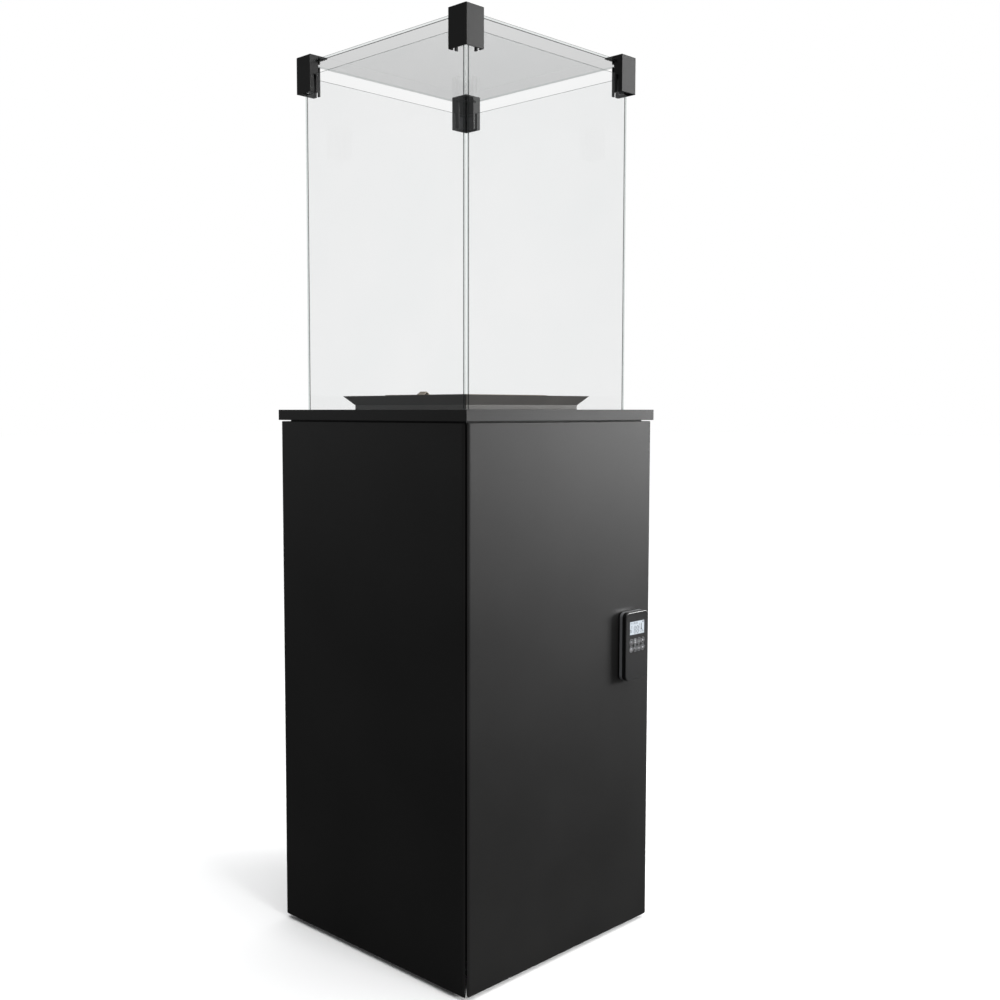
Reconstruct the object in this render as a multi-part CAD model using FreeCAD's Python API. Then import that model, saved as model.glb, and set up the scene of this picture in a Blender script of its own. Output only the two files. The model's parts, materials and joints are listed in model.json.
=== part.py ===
import FreeCAD, Part
import math
import os

# Free-standing gas patio heater: a square sheet-steel cabinet that holds a gas cylinder,
# a folded top plate with a burner, a column of four glass panes under a glass roof, and a
# remote control on a magnetic wall plate.
# Frame: millimetres, +Z up, origin on the floor under the middle of the column.
# The door faces -Y. The remote control is on the +X side.

V = FreeCAD.Vector
X = V(1, 0, 0)
Y = V(0, 1, 0)
Z = V(0, 0, 1)
ORIGIN = V(0, 0, 0)

# Heights of the main levels
PANEL_BOTTOM = 8.3
FLOOR_Z = 44.0
PANEL_TOP = 893.0
PLATE_BOTTOM = 895.0
PLATE_TOP = 913.0

# Cutting tools reach past the object by these
WIDE = 300.0
HIGH = 1000.0

# Cabinet
PLATE_SIDE = 465.6
PLATE_SHEET = 2.0
PLATE_CORNER = 1.6
PLATE_RIM = 0.8
CABINET_SIDE = 462.0
HALF = CABINET_SIDE / 2
PANEL_SHEET = 1.5
PANEL_INNER = HALF - PANEL_SHEET
PANEL_RIM = 1.2
EDGE_RADIUS = 9.5
CORNER_GAP = 2.4
LIP_START = HALF - 12.7
FLANGE_INNER = HALF - 12.0
FRAME_HALF = HALF - 13.7
FRAME_SHEET = 2.0
POST_FACE = FRAME_HALF - FRAME_SHEET
POST_LEG = 30.0
FLOOR_EDGE_TOP = 57.0
TOP_FRAME_LEDGE = 905.0
TOP_FRAME_SKIRT = 860.0
FRAME_LEDGE_INNER = 186.0
FOOT_SPREAD = 150.0
FOOT_RADIUS = 17.0
VENT_SIZE = (8.0, 70.0)
VENT_PITCH = 30.0

# Panel stiffening channels, their screws, and the rear wall's air slots
CHANNEL_START = 190.0
CHANNEL_WIDTH = 18.0
CHANNEL_SHEET = 1.2
CHANNEL_Z = (65.0, 845.0)
SCREW_LEVELS = (120.0, 457.0, 795.0)
SCREW_RADIUS = 2.5
SCREW_AT = CHANNEL_START + CHANNEL_WIDTH / 2
SLOT_SIZE = (70.0, 5.0)
SLOT_PITCH = (90.0, 14.0)
SLOT_FIELDS = (90.0, 760.0)

# Door hinge: the pin stands at the centre of the door's rounded edge
PIVOT = HALF - EDGE_RADIUS
PIN_RADIUS = 3.0
PIN_PLAY = 0.08
HINGE_SHEET = 3.0
HINGE_GAP = 0.3
HINGE_LEVELS = (60.0, 852.0)
HINGE_EYE = 6.5
TAB_EYE = 5.5
NECK = 2.5
DOOR_SWING_ROOM = 5.8
SIDE_FLANGE_ROOM = 11.0
MAGNET_LEVELS = (150.0, 720.0)
MAGNET_HEIGHT = 50.0

# Glass column
PANE = 5.0
PANE_SIDE = 386.4
PANE_PLAY = 0.4
PANE_TOP = PLATE_TOP + 570.0
GROOVE_OUTER = PANE_SIDE + 12.0
GROOVE_INNER = PANE_SIDE - 2.0
GROOVE_DEPTH = 4.0
ROOF_SIDE = 390.4
ROOF_BOTTOM = PLATE_TOP + 590.1
ROOF_TOP = ROOF_BOTTOM + PANE
ARRIS = 1.0
BRACKET_SIDE = 412.8
BRACKET_LEG = 38.0
BRACKET_END = 18.0
BRACKET_WALL = 2.5
BRACKET_BOTTOM = PLATE_TOP + 540.3
BRACKET_TOP = PLATE_TOP + 602.0

# Burner
TRAY_FOOT_SIDE = 274.5
TRAY_RIM_SIDE = 305.0
TRAY_SKIRT = 7.7
TRAY_HEIGHT = 23.6
TRAY_SHEET = 2.0
BURNER_SIDE = 200.0
BURNER_TOP = PLATE_TOP + 25.5
BOX_SIDE = 196.0
BOX_BOTTOM = 880.0
BOX_FLANGE_SIDE = 216.0
OPENING_SIDE = 204.0
HOUSING_SIDE = 280.0
HOUSING_FLOOR = 862.0
MIXER_RADIUS = 15.0
MIXER_BOTTOM = 800.0
PILOT = V(-118, 8, PLATE_TOP + 2)
PILOT_SPACING = 13.0
PILOT_HOLE = 11.0
PORT_RADIUS = 2.2
PORT_PITCH = 13.0

# Gas train
CYLINDER_RADIUS = 153.0
CYLINDER_BOTTOM = 67.0
CYLINDER_TOP = 512.0
CYLINDER_WALL = 2.6
CYLINDER_DOME = 95.0
COLLAR_RADIUS = 107.0
FOOT_RING_RADIUS = 115.0
COLLAR_TOP = 622.0
OUTLET_Z = 555.0
REGULATOR = V(-95, 0, 542)
SPIGOT_X = -134.0
HOSE_RADIUS = 6.5
HOSE_BORE = 4.2
VALVE = V(10, -188, 690)
VALVE_SIZE = V(100, 68, 70)
BRACKET_PLATE_Y = -190.0
KNOB_Z = 725.0
MANUAL_KNOB_X = 35.0
FLAME_KNOB_X = 85.0
RECEIVER = V(-135, -210, 745)
RECEIVER_SIZE = V(90, 20, 105)
RECEIVER_SHELF = 60.0
LID_SHEET = 1.6
ROCKER = V(-90, -210, 828)
ROCKER_TILT = 7.0

# Remote control on the +X panel
REMOTE_Y = 170.0
REMOTE_Z = 506.0
REMOTE_WIDTH = 62.0
REMOTE_HEIGHT = 119.0
REMOTE_DEPTH = 15.0
REMOTE_RADIUS = 10.0
REMOTE_WALL = 2.0
REMOTE_EDGE = 1.6
REMOTE_SPLIT = 6.5
HOLDER_THICKNESS = 2.2
REMOTE_BACK = HALF + HOLDER_THICKNESS + 0.3
REMOTE_FRONT = REMOTE_BACK + REMOTE_DEPTH
DISPLAY_SIZE = (40.6, 23.1)
DISPLAY_DROP = 28.0
COVER_WIDTH = 40.0
COVER_HEIGHT = 55.0
COVER_SHEET = 1.6
COVER_PLAY = 0.3


def box(low, high):
    """Block between two corners."""
    size = [high[i] - low[i] for i in range(3)]
    return Part.makeBox(*size, V(*low))


def rod(radius, start, end):
    """Round bar from one point to another."""
    start = V(*start)
    run = V(*end) - start
    return Part.makeCylinder(radius, run.Length, start, run)


def pipe(outer, inner, start, end):
    return rod(outer, start, end).cut(rod(inner, start, end))


def square(side, z0, z1, radius=0.0):
    """Upright square prism on the column's axis, with optional rounded corners."""
    h = side / 2
    shape = box((-h, -h, z0), (h, h, z1))
    if radius:
        corners = [e for e in shape.Edges if upright(e)]
        shape = shape.makeFillet(radius, corners)
    return shape


def ring(outer, inner, z0, z1):
    return square(outer, z0, z1).cut(square(inner, z0, z1))


def upright(edge):
    first, last = edge.Vertexes[0].Point, edge.Vertexes[-1].Point
    return abs(first.x - last.x) < 1e-6 and abs(first.y - last.y) < 1e-6


def prism(points, direction):
    """Solid made by pushing a flat outline along a direction."""
    wire = Part.makePolygon([V(*p) for p in points] + [V(*points[0])])
    return Part.Face(wire).extrude(direction)


def hexagon(radius, start, end):
    """Hexagonal bar between two points, radius to its corners."""
    start = V(*start)
    run = V(*end) - start
    across = Y if abs(run.y) < 1e-6 else X
    side = run.cross(across).normalize()
    steps = [math.radians(60 * i) for i in range(6)]
    corners = [start + across * radius * math.cos(a) + side * radius * math.sin(a) for a in steps]
    return prism(corners, run)


def fuse(first, *rest):
    return first.multiFuse(list(rest)).removeSplitter()


def cut(first, *rest):
    for tool in rest:
        first = first.cut(tool)
    return first


def turned(shape, quarter):
    """Copy turned about the column's axis by a number of quarter turns."""
    copy = shape.copy()
    copy.rotate(ORIGIN, Z, 90 * quarter)
    return copy


def rounded(shape, radius, wanted):
    """Fillet on every edge that the test picks."""
    return shape.makeFillet(radius, [e for e in shape.Edges if wanted(e)])


def eased(shape, size):
    """Chamfer on every edge."""
    return shape.makeChamfer(size, shape.Edges)


def bent_tube(radius, points, radii):
    """Round tube along straight runs joined by tangent arcs, and a line about its radii."""
    edges = []
    here = V(*points[0])
    length = 0.0
    for i in range(1, len(points) - 1):
        corner = V(*points[i])
        back = (V(*points[i - 1]) - corner).normalize()
        ahead = (V(*points[i + 1]) - corner).normalize()
        turn = math.pi - back.getAngle(ahead)
        reach = radii[i - 1] * math.tan(turn / 2)
        start, end = corner + back * reach, corner + ahead * reach
        bisector = (back + ahead).normalize()
        centre = corner + bisector * (radii[i - 1] / math.cos(turn / 2))
        middle = centre - bisector * radii[i - 1]
        edges.append(Part.LineSegment(here, start).toShape())
        edges.append(Part.Arc(start, middle, end).toShape())
        length += here.distanceToPoint(start) + radii[i - 1] * turn
        here = end
    edges.append(Part.LineSegment(here, V(*points[-1])).toShape())
    length += here.distanceToPoint(V(*points[-1]))
    path = Part.Wire(edges)
    heading = V(*points[1]) - V(*points[0])
    section = Part.Wire(Part.Circle(V(*points[0]), heading, radius).toShape())
    tube = path.makePipeShell([section], True, False)
    ratio = tube.Volume / (math.pi * radius**2 * length)
    print(f"tube of radius {radius}: length {length:.0f}, arcs {radii}, volume ratio {ratio:.4f}")
    return tube


def save(name, *solids):
    shape = solids[0] if len(solids) == 1 else Part.makeCompound(list(solids))
    shape.exportStep(f"parts/{name}.step")


# ---------------------------------------------------------------- chassis


def foot_places():
    return [V(sx * FOOT_SPREAD, sy * FOOT_SPREAD, 0) for sx in (-1, 1) for sy in (-1, 1)]


def base_plate():
    """Folded floor tray with gas vents and foot holes."""
    side = 2 * FRAME_HALF
    floor = square(side, FLOOR_Z, FLOOR_Z + FRAME_SHEET)
    edge = ring(side, side - 2 * FRAME_SHEET, FLOOR_Z, FLOOR_EDGE_TOP)
    tray = fuse(floor, edge)
    low, high = FLOOR_Z - 5, FLOOR_Z + 10
    width, length = VENT_SIZE
    vents = []
    for column in range(-3, 4):
        for row in (-1, 1):
            x, y = column * VENT_PITCH - width / 2, row * 55 - length / 2
            vents.append(box((x, y, low), (x + width, y + length, high)))
    stems = [rod(5, (p.x, p.y, low), (p.x, p.y, high)) for p in foot_places()]
    return cut(tray, *vents, *stems)


def rubber_feet():
    """Four tapered rubber feet, each with a stem and a barb through the floor."""
    feet = []
    for p in foot_places():
        body = Part.makeCone(FOOT_RADIUS, FOOT_RADIUS + 3, FLOOR_Z, p)
        body = rounded(body, 2, lambda e: abs(e.BoundBox.ZMax) < 1e-6)
        stem = rod(5, (p.x, p.y, FLOOR_Z), (p.x, p.y, FLOOR_Z + FRAME_SHEET))
        barb = Part.makeCone(7, 4, 7, p + Z * (FLOOR_Z + FRAME_SHEET))
        feet.append(fuse(body, stem, barb))
    return feet


def corner_post():
    """Folded angle at the +X +Y corner, with holes for the panel screws."""
    outer, inner = POST_FACE, POST_FACE - FRAME_SHEET
    start = POST_FACE - POST_LEG
    z0, z1 = FLOOR_Z + FRAME_SHEET, TOP_FRAME_LEDGE
    post = fuse(box((inner, start, z0), (outer, outer, z1)), box((start, inner, z0), (outer, outer, z1)))
    return cut(post, *post_holes())


def post_holes():
    holes = []
    for z in SCREW_LEVELS:
        hole = rod(SCREW_RADIUS, (POST_FACE - 10, SCREW_AT, z), (POST_FACE + 5, SCREW_AT, z))
        holes += [hole, hole.mirror(ORIGIN, V(1, -1, 0))]
    return holes


def top_frame():
    """Square angle ring on the posts: a skirt round them and a ledge for the top plate."""
    side = 2 * FRAME_HALF
    skirt = ring(side, side - 2 * FRAME_SHEET, TOP_FRAME_SKIRT, TOP_FRAME_LEDGE + FRAME_SHEET)
    ledge = ring(side, 2 * FRAME_LEDGE_INNER, TOP_FRAME_LEDGE, TOP_FRAME_LEDGE + FRAME_SHEET)
    return fuse(skirt, ledge)


# ---------------------------------------------------------------- panels


def wedge(gap):
    """The quarter of the plan towards +X, set back from both diagonals."""
    offset = gap / 2 * math.sqrt(2)
    return prism([(offset, 0, 0), (WIDE + offset, WIDE, 0), (WIDE + offset, -WIDE, 0)], Z * HIGH)


def cabinet_hollow():
    """The space inside the four walls."""
    low, high = PANEL_BOTTOM + PANEL_SHEET, PANEL_TOP - PANEL_SHEET
    return square(2 * PANEL_INNER, low, high, EDGE_RADIUS - PANEL_SHEET)


def cabinet_skin():
    """The cabinet's four walls and their top and bottom flanges, before they are divided."""
    outer = square(CABINET_SIDE, PANEL_BOTTOM, PANEL_TOP, EDGE_RADIUS)
    rims = [e for e in outer.Edges if e.BoundBox.ZLength < 1e-6]
    outer = outer.makeFillet(PANEL_RIM, rims)
    shaft = square(2 * FLANGE_INNER, 0, HIGH)
    return cut(outer, cabinet_hollow(), shaft)


def corner_lips():
    """Folded lips along both diagonals of the +X wall, inside the skin."""
    strip = wedge(CORNER_GAP).cut(wedge(CORNER_GAP + 2 * PANEL_SHEET))
    return strip.common(cabinet_hollow()).common(box((LIP_START, -WIDE, 0), (WIDE, WIDE, HIGH)))


def channel(y0, depth=PANEL_INNER - POST_FACE, width=CHANNEL_WIDTH):
    """Upright stiffening channel behind the +X wall."""
    x0 = PANEL_INNER - depth
    z0, z1 = CHANNEL_Z
    outer = box((x0, y0, z0), (PANEL_INNER, y0 + width, z1))
    inner = box((x0 + CHANNEL_SHEET, y0 + CHANNEL_SHEET, z0), (PANEL_INNER, y0 + width - CHANNEL_SHEET, z1))
    return outer.cut(inner)


def fixed_panel():
    """The +X wall: mitred rounded edges, lips, flanges and two channels with screw holes."""
    skin = cabinet_skin().common(wedge(CORNER_GAP))
    lips = corner_lips().Solids
    channels = [channel(CHANNEL_START), channel(-CHANNEL_START - CHANNEL_WIDTH)]
    holes = []
    for z in SCREW_LEVELS:
        for y in (SCREW_AT, -SCREW_AT):
            holes.append(rod(SCREW_RADIUS, (POST_FACE - 5, y, z), (POST_FACE + 5, y, z)))
    return cut(fuse(skin, *lips, *channels), *holes)


def rear_panel():
    """Wall with two fields of slots that let fresh air in and spilled gas out."""
    length, height = SLOT_SIZE
    slots = []
    for start in SLOT_FIELDS:
        for row in range(5):
            for column in range(-1, 2):
                x, z = column * SLOT_PITCH[0] - length / 2, start + row * SLOT_PITCH[1]
                slots.append(box((x, POST_FACE, z), (x + length, WIDE, z + height)))
    return cut(turned(fixed_panel(), 1), *slots)


def left_panel():
    """Wall cut short at its front edge, to leave room for the door's turning edge."""
    front = -PIVOT + DOOR_SWING_ROOM
    flange = -PIVOT + SIDE_FLANGE_ROOM
    panel = turned(fixed_panel(), 2)
    beyond = box((-WIDE, -WIDE, 0), (-150, front, HIGH))
    return cut(panel, beyond, box((-PANEL_INNER, front - 1, 0), (-150, flange, HIGH)))


def hinge_levels():
    """For each hinge: height of the fixed plate, height of the door's tab, and which way is out."""
    low, high = HINGE_LEVELS
    return [(low, low + HINGE_SHEET + HINGE_GAP, -1), (high, high - HINGE_SHEET - HINGE_GAP, 1)]


def door_panel():
    """Front wall: a full quarter-round about the hinge pins on the left, a mitre on the right."""
    back = CORNER_GAP / 2 * math.sqrt(2)
    plan = [(-WIDE, -WIDE), (WIDE - back, -WIDE), (200, -200 - back), (200, -PIVOT), (-WIDE, -PIVOT)]
    limit = prism([(x, y, 0) for x, y in plan], Z * HIGH)
    skin = cabinet_skin().common(limit)
    for z in (PANEL_BOTTOM - 1, PANEL_TOP - PANEL_SHEET - 2.5):
        corner = box((-PANEL_INNER, -PANEL_INNER, z), (-PIVOT, -PIVOT + 1, z + 5))
        skin = skin.cut(corner)
    lips = [s for s in turned(corner_lips(), 3).Solids if s.CenterOfMass.x > 0]
    middle = turned(channel(-30, depth=8.0, width=60), 3)
    tabs = []
    for _, z, _ in hinge_levels():
        arm = box((-PIVOT, -PANEL_INNER, z), (-PIVOT + 26, -PIVOT + 3.5, z + HINGE_SHEET))
        eye = rod(TAB_EYE, (-PIVOT, -PIVOT, z), (-PIVOT, -PIVOT, z + HINGE_SHEET))
        tabs.append(arm.fuse(eye))
    bore = rod(PIN_RADIUS + PIN_PLAY, (-PIVOT, -PIVOT, 20), (-PIVOT, -PIVOT, 880))
    return fuse(skin, *lips, middle, *tabs).cut(bore)


def hinge_brackets():
    """Two plates that reach from the front left post to the pins, each on a folded wrap."""
    brackets = []
    for z, _, way in hinge_levels():
        eye = rod(HINGE_EYE, (-PIVOT, -PIVOT, z), (-PIVOT, -PIVOT, z + HINGE_SHEET))
        neck = prism([(-PIVOT - NECK, -PIVOT + NECK, z), (-PIVOT + NECK, -PIVOT - NECK, z),
                      (-POST_FACE + NECK, -POST_FACE - NECK, z), (-POST_FACE - NECK, -POST_FACE + NECK, z)],
                     Z * HINGE_SHEET)
        low, high = (z, z + 22) if way < 0 else (z - 19, z + HINGE_SHEET)
        wrap = box((-FRAME_HALF, -FRAME_HALF, low), (-POST_FACE + 20, -POST_FACE + 4, high))
        post = box((-POST_FACE, -POST_FACE, 0), (0, 0, HIGH))
        bore = rod(PIN_RADIUS, (-PIVOT, -PIVOT, 0), (-PIVOT, -PIVOT, HIGH))
        brackets.append(cut(fuse(eye, neck, wrap), post, bore))
    return brackets


def hinge_pins():
    """Headed pins, pressed into the fixed plates and free in the door's tabs."""
    pins = []
    for z, tab, way in hinge_levels():
        start = z if way < 0 else z + HINGE_SHEET
        end = tab + HINGE_SHEET + 3 if way < 0 else tab - 3
        shank = rod(PIN_RADIUS, (-PIVOT, -PIVOT, start), (-PIVOT, -PIVOT, end))
        head = rod(4.8, (-PIVOT, -PIVOT, start), (-PIVOT, -PIVOT, start + way * 2))
        pins.append(fuse(shank, head))
    return pins


def door_magnets():
    """Two magnet blocks on the front right post."""
    x = POST_FACE - 26
    return [box((x, -HALF + 3.5, z), (x + 22, -POST_FACE, z + MAGNET_HEIGHT)) for z in MAGNET_LEVELS]


def door_strikes():
    """Two steel strike plates inside the door, half a millimetre off the magnets."""
    x, height = POST_FACE - 28, MAGNET_HEIGHT + 5
    return [box((x, -PANEL_INNER, z - 5), (x + 26, -HALF + 3.0, z + height)) for z in MAGNET_LEVELS]


def panel_screws():
    """Button-head screws through the posts into the channels of the three fixed panels."""
    screws = []
    for quarter in (0, 1, 2):
        for z in SCREW_LEVELS:
            for y in (SCREW_AT, -SCREW_AT):
                shank = rod(SCREW_RADIUS, (POST_FACE - FRAME_SHEET, y, z), (POST_FACE + 8, y, z))
                head = rod(4.5, (POST_FACE - FRAME_SHEET - 2.5, y, z), (POST_FACE - FRAME_SHEET, y, z))
                screws.append(turned(fuse(shank, head), quarter))
    return screws


# ---------------------------------------------------------------- top plate


def top_plate():
    """Folded lid with a pressed groove for the glass and openings for the burner."""
    lid = square(PLATE_SIDE, PLATE_BOTTOM, PLATE_TOP, PLATE_CORNER)
    lid = rounded(lid, PLATE_RIM, lambda e: e.BoundBox.ZLength < 1e-6)
    lid = lid.cut(square(PLATE_SIDE - 2 * PLATE_SHEET, PLATE_BOTTOM - 1, PLATE_TOP - PLATE_SHEET))
    groove_floor = PLATE_TOP - GROOVE_DEPTH
    shell = ring(GROOVE_OUTER + 4, GROOVE_INNER - 4, groove_floor - 2, PLATE_TOP - PLATE_SHEET)
    groove = ring(GROOVE_OUTER, GROOVE_INNER, groove_floor, PLATE_TOP + 1)
    opening = square(OPENING_SIDE, 0, HIGH)
    return cut(fuse(lid, shell), groove, opening, pilot_opening(), *housing_screw_holes())


def pilot_opening():
    return rod(PILOT_HOLE, (PILOT.x, PILOT.y, PLATE_BOTTOM), (PILOT.x, PILOT.y, PLATE_TOP + 7))


def housing_screw_places():
    edge = HOUSING_SIDE / 2 + 8
    places = []
    for quarter in range(4):
        for along in (-80, 80):
            spot = FreeCAD.Rotation(Z, 90 * quarter).multVec(V(edge, along, 0))
            places.append(spot)
    return places


def housing_screw_holes():
    return [rod(2, (p.x, p.y, PLATE_BOTTOM), (p.x, p.y, PLATE_TOP + 7)) for p in housing_screw_places()]


def top_plate_screws():
    """Countersunk screws hold the burner housing under the plate, heads flush on top."""
    screws = []
    for p in housing_screw_places():
        shank = rod(2, (p.x, p.y, PLATE_TOP - 12), (p.x, p.y, PLATE_TOP))
        nut = hexagon(4, (p.x, p.y, PLATE_TOP - 7), (p.x, p.y, PLATE_TOP - PLATE_SHEET - 1.5))
        screws.append(fuse(shank, nut))
    return screws


# ---------------------------------------------------------------- glass


def glass_gasket():
    """Silicone channel that lines the groove; the panes stand in it."""
    floor_z = PLATE_TOP - GROOVE_DEPTH
    whole = ring(GROOVE_OUTER, GROOVE_INNER, floor_z, PLATE_TOP)
    return whole.cut(ring(PANE_SIDE + 2 * PANE, PANE_SIDE, floor_z + 1, PLATE_TOP + 1))


def pane():
    """The -Y pane: toughened glass with eased edges."""
    half = (PANE_SIDE - PANE_PLAY) / 2
    inner = PANE_SIDE / 2
    low = PLATE_TOP - GROOVE_DEPTH + 1
    return eased(box((-half, -inner - PANE, low), (half, -inner, PANE_TOP)), ARRIS)


def roof_glass():
    return eased(square(ROOF_SIDE, ROOF_BOTTOM, ROOF_TOP), ARRIS)


def corner_bracket():
    """Cap on the -X -Y corner: two outer walls, a square top, and two slotted end walls."""
    corner = -BRACKET_SIDE / 2
    leg, end, wall = corner + BRACKET_LEG, corner + BRACKET_END, BRACKET_WALL
    ceiling, below = BRACKET_TOP - wall, BRACKET_BOTTOM - 1
    cap = box((corner, corner, BRACKET_BOTTOM), (leg, leg, BRACKET_TOP))
    cap = rounded(cap, 2.0, lambda e: upright(e) and e.CenterOfMass.x + e.CenterOfMass.y < 2 * corner + 1)
    cap = rounded(cap, 1.0, lambda e: e.BoundBox.ZMin > BRACKET_TOP - 1e-3 and outermost(e) < corner + 1.5)
    inside = box((corner + wall, corner + wall, below), (leg - wall, leg - wall, ceiling))
    mouth = box((end, end, below), (leg + 1, leg + 1, ceiling))
    pane_face, roof_face = -PANE_SIDE / 2, -ROOF_SIDE / 2
    pane_slot = box((leg - wall - 1, pane_face - PANE, below), (leg + 1, pane_face, PANE_TOP))
    roof_slot = box((leg - wall - 1, roof_face, ROOF_BOTTOM), (leg + 1, leg + 1, ROOF_TOP))
    slots = [pane_slot, roof_slot]
    slots += [slot.mirror(ORIGIN, V(1, -1, 0)) for slot in slots]
    return cut(cap, inside, mouth, *slots)


def outermost(edge):
    return min(edge.CenterOfMass.x, edge.CenterOfMass.y)


def bracket_pads():
    """Silicone pads inside each corner bracket, against the panes and on the roof glass."""
    corner = -BRACKET_SIDE / 2
    face = -PANE_SIDE / 2 - PANE
    side = box((corner + 12, corner + BRACKET_WALL, BRACKET_BOTTOM + 4), (corner + 32, face, PANE_TOP - 4))
    other = side.mirror(ORIGIN, V(1, -1, 0))
    edge = -ROOF_SIDE / 2
    cap = box((edge, edge, ROOF_TOP), (edge + 14, edge + 14, BRACKET_TOP - BRACKET_WALL))
    return [turned(pad, q) for q in range(4) for pad in (side, other, cap)]


# ---------------------------------------------------------------- burner


def frustum(side0, z0, side1, z1):
    """Solid between two level squares of different size."""
    loops = []
    for side, z in ((side0, z0), (side1, z1)):
        h = side / 2
        loops.append(Part.makePolygon([V(-h, -h, z), V(h, -h, z), V(h, h, z), V(-h, h, z), V(-h, -h, z)]))
    return Part.makeLoft(loops, True, True)


def burner_tray():
    """Shallow dish with an upright skirt, a flared rim and an opening for the burner box."""
    bend, rim = PLATE_TOP + TRAY_SKIRT, PLATE_TOP + TRAY_HEIGHT
    wall = 2 * TRAY_SHEET
    outer = fuse(square(TRAY_FOOT_SIDE, PLATE_TOP, bend), frustum(TRAY_FOOT_SIDE, bend, TRAY_RIM_SIDE, rim))
    slope = (TRAY_RIM_SIDE - TRAY_FOOT_SIDE) / (rim - bend)
    inner_bend = bend + 0.8
    inner_foot = TRAY_FOOT_SIDE - wall
    inner_rim = inner_foot + slope * (rim + 1 - inner_bend)
    basin = square(inner_foot, PLATE_TOP + TRAY_SHEET, inner_bend)
    inner = fuse(basin, frustum(inner_foot, inner_bend, inner_rim, rim + 1))
    opening = square(BOX_SIDE, 0, PLATE_TOP + 10)
    return cut(outer, inner, opening, pilot_opening())


def burner_box():
    """Gas plenum: an open pan hung in the tray by its flange."""
    flange_z = PLATE_TOP + TRAY_SHEET
    shell = square(BOX_SIDE, BOX_BOTTOM, BURNER_TOP - 2).cut(square(BOX_SIDE - 4, BOX_BOTTOM + 2, BURNER_TOP))
    flange = ring(BOX_FLANGE_SIDE, BOX_SIDE - 1, flange_z, flange_z + 1.5)
    hole = rod(MIXER_RADIUS, (0, 0, BOX_BOTTOM - 5), (0, 0, BOX_BOTTOM + 5))
    return fuse(shell, flange).cut(hole)


def burner_plate():
    """Perforated stainless lid of the plenum, with rows of flame ports."""
    h = BURNER_SIDE / 2
    plate = box((-h, -h, BURNER_TOP - 2), (h, h, BURNER_TOP))
    ports = []
    for i in range(-6, 7):
        for j in range(-6, 7):
            x, y = i * PORT_PITCH, j * PORT_PITCH
            ports.append(rod(PORT_RADIUS, (x, y, BURNER_TOP - 5), (x, y, BURNER_TOP + 5)))
    return plate.cut(Part.makeCompound(ports))


def burner_housing():
    """Heat shield pan under the top plate, round the plenum."""
    top = PLATE_TOP - PLATE_SHEET
    side, sheet = HOUSING_SIDE, 1.5
    pan = square(side, HOUSING_FLOOR, top).cut(square(side - 2 * sheet, HOUSING_FLOOR + sheet, top))
    flange = ring(side + 32, side - 1, top - sheet, top)
    mixer = rod(MIXER_RADIUS + 1, (0, 0, HOUSING_FLOOR - 1), (0, 0, HOUSING_FLOOR + 3))
    pilot = rod(2, (PILOT.x, PILOT.y, HOUSING_FLOOR - 1), (PILOT.x, PILOT.y, HOUSING_FLOOR + 3))
    return cut(fuse(pan, flange), mixer, pilot, *housing_screw_holes())


def mixer_tube():
    """Upright mixing tube with four air ports above a threaded end plate."""
    top = BOX_BOTTOM + 8
    tube = rod(MIXER_RADIUS, (0, 0, MIXER_BOTTOM), (0, 0, top))
    tube = tube.cut(rod(MIXER_RADIUS - 2, (0, 0, MIXER_BOTTOM + 3), (0, 0, top)))
    ports = [rod(6, (-20, 0, MIXER_BOTTOM + 18), (20, 0, MIXER_BOTTOM + 18)),
             rod(6, (0, -20, MIXER_BOTTOM + 18), (0, 20, MIXER_BOTTOM + 18))]
    return cut(tube, *ports, rod(4, (0, 0, MIXER_BOTTOM - 1), (0, 0, MIXER_BOTTOM + 4)))


def injector():
    """Brass jet: hexagon body and a drilled tip inside the mixing tube."""
    z = MIXER_BOTTOM
    body = hexagon(8, (0, 0, z - 12), (0, 0, z))
    tip = rod(4, (0, 0, z), (0, 0, z + 9))
    return fuse(body, tip).cut(rod(0.8, (0, 0, z - 4), (0, 0, z + 10)))


def pilot_hood():
    """Folded hood over the pilot flame: base, two cheeks and a peaked roof."""
    x, y, z = PILOT
    base = box((x - 9, y - 9, z), (x + 9, y + 9, z + 1.5))
    cheeks = [box((x - 9, y + s * 8 - 1, z), (x + 9, y + s * 8 + 1, z + 24)) for s in (-1, 1)]
    gable = [(x - 9, y - 9, z + 24), (x - 9, y, z + 31), (x - 9, y + 9, z + 24),
             (x - 9, y + 7, z + 24), (x - 9, y, z + 29), (x - 9, y - 7, z + 24)]
    hole = rod(2, (x, y, z - 1), (x, y, z + 3))
    return fuse(base, *cheeks, prism(gable, X * 18)).cut(hole)


def pilot_probe(side, radius, height):
    """Upright rod on a small foot beside the pilot hood."""
    x, y, z = PILOT.x, PILOT.y + side * PILOT_SPACING, PILOT.z
    foot = rod(3.4, (x, y, z), (x, y, z + 5))
    return fuse(foot, rod(radius, (x, y, z), (x, y, z + height)))


def spark_electrode():
    """Ceramic insulator with a straight wire tip."""
    x, y, z = PILOT.x, PILOT.y + PILOT_SPACING, PILOT.z
    wire = rod(0.9, (x, y, z + 22), (x, y, z + 28))
    return fuse(pilot_probe(1, 2.6, 23), wire)


# ---------------------------------------------------------------- gas train


def bottle(inset=0.0):
    """The gas bottle's rounded outer form, or a smaller copy of it."""
    body = rod(CYLINDER_RADIUS - inset, (0, 0, CYLINDER_BOTTOM + inset), (0, 0, CYLINDER_TOP - inset))
    return rounded(body, CYLINDER_DOME - inset, lambda e: e.BoundBox.ZLength < 1e-6)


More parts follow.
